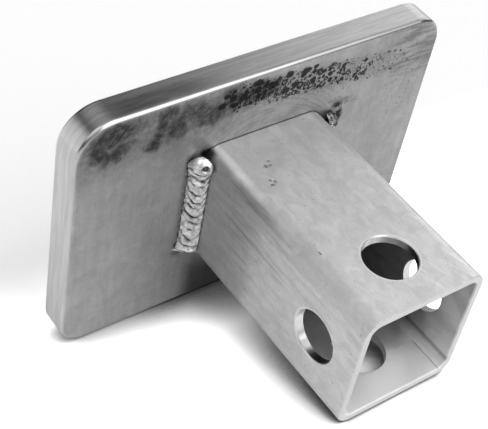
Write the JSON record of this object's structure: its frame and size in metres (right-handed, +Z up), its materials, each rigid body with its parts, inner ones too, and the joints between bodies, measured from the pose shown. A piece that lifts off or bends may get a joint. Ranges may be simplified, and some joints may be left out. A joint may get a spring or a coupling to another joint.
{
  "type": "hitch cover",
  "caption": "Thick rounded aluminium plate welded to a short square tube that slides into a trailer hitch receiver and is held by a cross pin.",
  "frame": {"origin": "where the two hitch pin axes cross, on the axis of the square tube", "axes": "+Y along the tube to its open end, forwards into the vehicle's receiver; +Z up as fitted; +X to the vehicle's right, along the plate's width"},
  "size_m": [0.154, 0.1016, 0.1024],
  "materials": {
    "plate": "mill finish with oxide smudges on the back, polished edges",
    "tube": "drawn mill finish with fine lines along the tube",
    "weld": "bright rippled weld metal"
  },
  "bodies": {
    "root": {"face_plate": "plate", "receiver_tube": "tube", "weld_bead_left": "weld", "weld_bead_right": "weld"}
  },
  "joints": []
}
